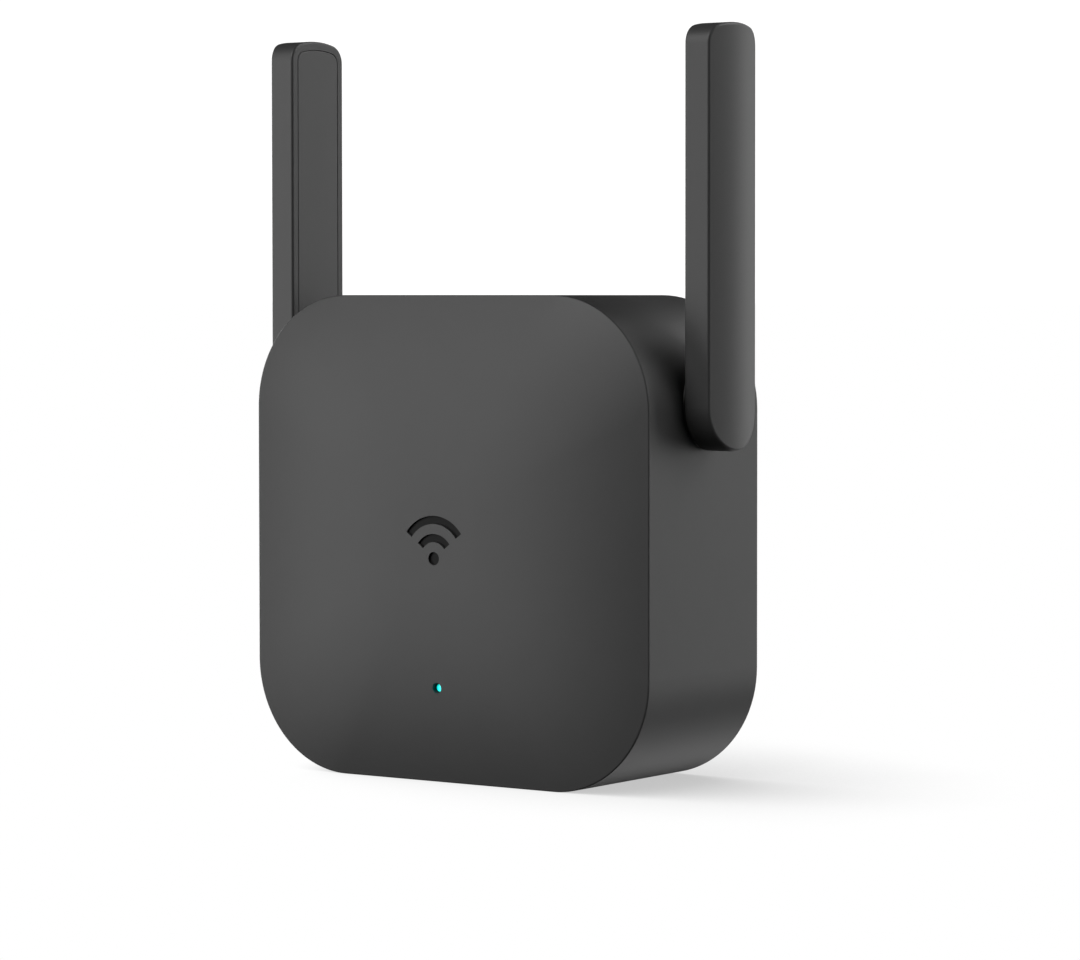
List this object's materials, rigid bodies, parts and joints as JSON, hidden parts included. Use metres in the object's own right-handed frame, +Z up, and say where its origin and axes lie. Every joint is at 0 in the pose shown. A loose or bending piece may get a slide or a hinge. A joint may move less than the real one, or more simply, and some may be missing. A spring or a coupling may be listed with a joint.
{
  "type": "wireless range extender",
  "caption": "Wall-plug wireless range extender: rounded square matte housing with a recessed signal symbol and status light, and two flat side antennas that fold down.",
  "frame": {"origin": "on the flat underside of the housing, in the middle of its width, directly below the antenna hinge line", "axes": "+Z up with the antennas raised, -Y out of the crowned front, +Y along the mains pins towards the wall, +X right seen from the front"},
  "size_m": [0.0884, 0.0534, 0.119],
  "materials": {
    "shell_plastic": "very fine matte dark grey moulded plastic",
    "cover_plastic": "matte dark grey moulded plastic",
    "badge_black": "dark satin plastic",
    "clear_light_pipe": "clear acrylic lit cyan",
    "label_film": "blank dark film",
    "white_insulator": "white nylon",
    "black_insulator": "black nylon",
    "nickel_plated": "bright nickel plate",
    "spring_brass": "phosphor bronze strip",
    "board_green": "solder mask over glass-fibre laminate",
    "screw_steel": "zinc plated steel",
    "ferrite": "sintered ferrite",
    "tape_yellow": "yellow polyester tape over copper wire",
    "copper_wire": "enamelled copper",
    "capacitor_can": "sleeved aluminium can",
    "epoxy_black": "moulded epoxy with tinned legs",
    "resistor_green": "coated ceramic barrel",
    "capacitor_blue": "blue epoxy-dipped ceramic disc",
    "tin_plate": "tin plated steel sheet",
    "silicone_grey": "soft thermal silicone",
    "led_package": "lit LED package",
    "sheet_clear": "insulating polyester sheet",
    "coax_jacket": "smooth fluoropolymer jacket",
    "bush_acetal": "natural acetal",
    "washer_rubber": "silicone friction washer"
  },
  "bodies": {
    "root": {"board_coax_left": "coax_jacket", "board_coax_right": "coax_jacket", "bridge_rectifier": "epoxy_black", "bulk_capacitors": "capacitor_can", "choke_core": "ferrite", "choke_winding": "copper_wire", "coax_plugs": "spring_brass", "coax_sockets": "spring_brass", "contact_spring_left": "spring_brass", "contact_spring_right": "spring_brass", "crystal": "tin_plate", "emblem_badge": "badge_black", "flash_chip": "epoxy_black", "fusible_resistor": "resistor_green", "hinge_bush_left": "bush_acetal", "hinge_bush_right": "bush_acetal", "housing_shell": "shell_plastic", "insulation_sheet": "sheet_clear", "light_pipe": "clear_light_pipe", "link_header_base": "black_insulator", "link_header_pins": "spring_brass", "main_board": "board_green", "main_board_screws": "screw_steel", "output_capacitor": "capacitor_can", "pin_sleeve_left": "black_insulator", "pin_sleeve_right": "black_insulator", "plug_insert": "black_insulator", "plug_pin_left": "nickel_plated", "plug_pin_right": "nickel_plated", "power_board": "board_green", "power_board_screws": "screw_steel", "power_controller": "epoxy_black", "radio_chip": "epoxy_black", "rating_label": "label_film", "rear_cover": "cover_plastic", "safety_capacitor": "capacitor_blue", "shield_frame": "tin_plate", "shield_lid": "tin_plate", "status_led": "led_package", "switch_case": "black_insulator", "thermal_pad": "silicone_grey", "transformer_bobbin": "black_insulator", "transformer_core": "ferrite", "transformer_winding": "tape_yellow"},
    "antenna_left": {"antenna_clip_left": "screw_steel", "antenna_coax_left": "coax_jacket", "antenna_cover_left": "cover_plastic", "antenna_radiator_left": "board_green", "antenna_shell_left": "shell_plastic", "antenna_washer_left": "washer_rubber"},
    "antenna_right": {"antenna_clip_right": "screw_steel", "antenna_coax_right": "coax_jacket", "antenna_cover_right": "cover_plastic", "antenna_radiator_right": "board_green", "antenna_shell_right": "shell_plastic", "antenna_washer_right": "washer_rubber"},
    "pairing_button": {"pairing_button": "cover_plastic", "switch_plunger": "white_insulator"}
  },
  "joints": [
    {"name": "antenna_left_fold", "type": "hinge", "parent": "root", "child": "antenna_left", "pos_m": [-0.041, 0, 0.0595], "axis": [1, 0, 0], "range_deg": [0, 180]},
    {"name": "antenna_right_fold", "type": "hinge", "parent": "root", "child": "antenna_right", "pos_m": [0.041, 0, 0.0595], "axis": [1, 0, 0], "range_deg": [0, 180]},
    {"name": "pairing_button_press", "type": "slide", "parent": "root", "child": "pairing_button", "axis": [1, 0, 0], "range_m": [0, 0.0004], "stiffness_N_per_m": 800}
  ]
}
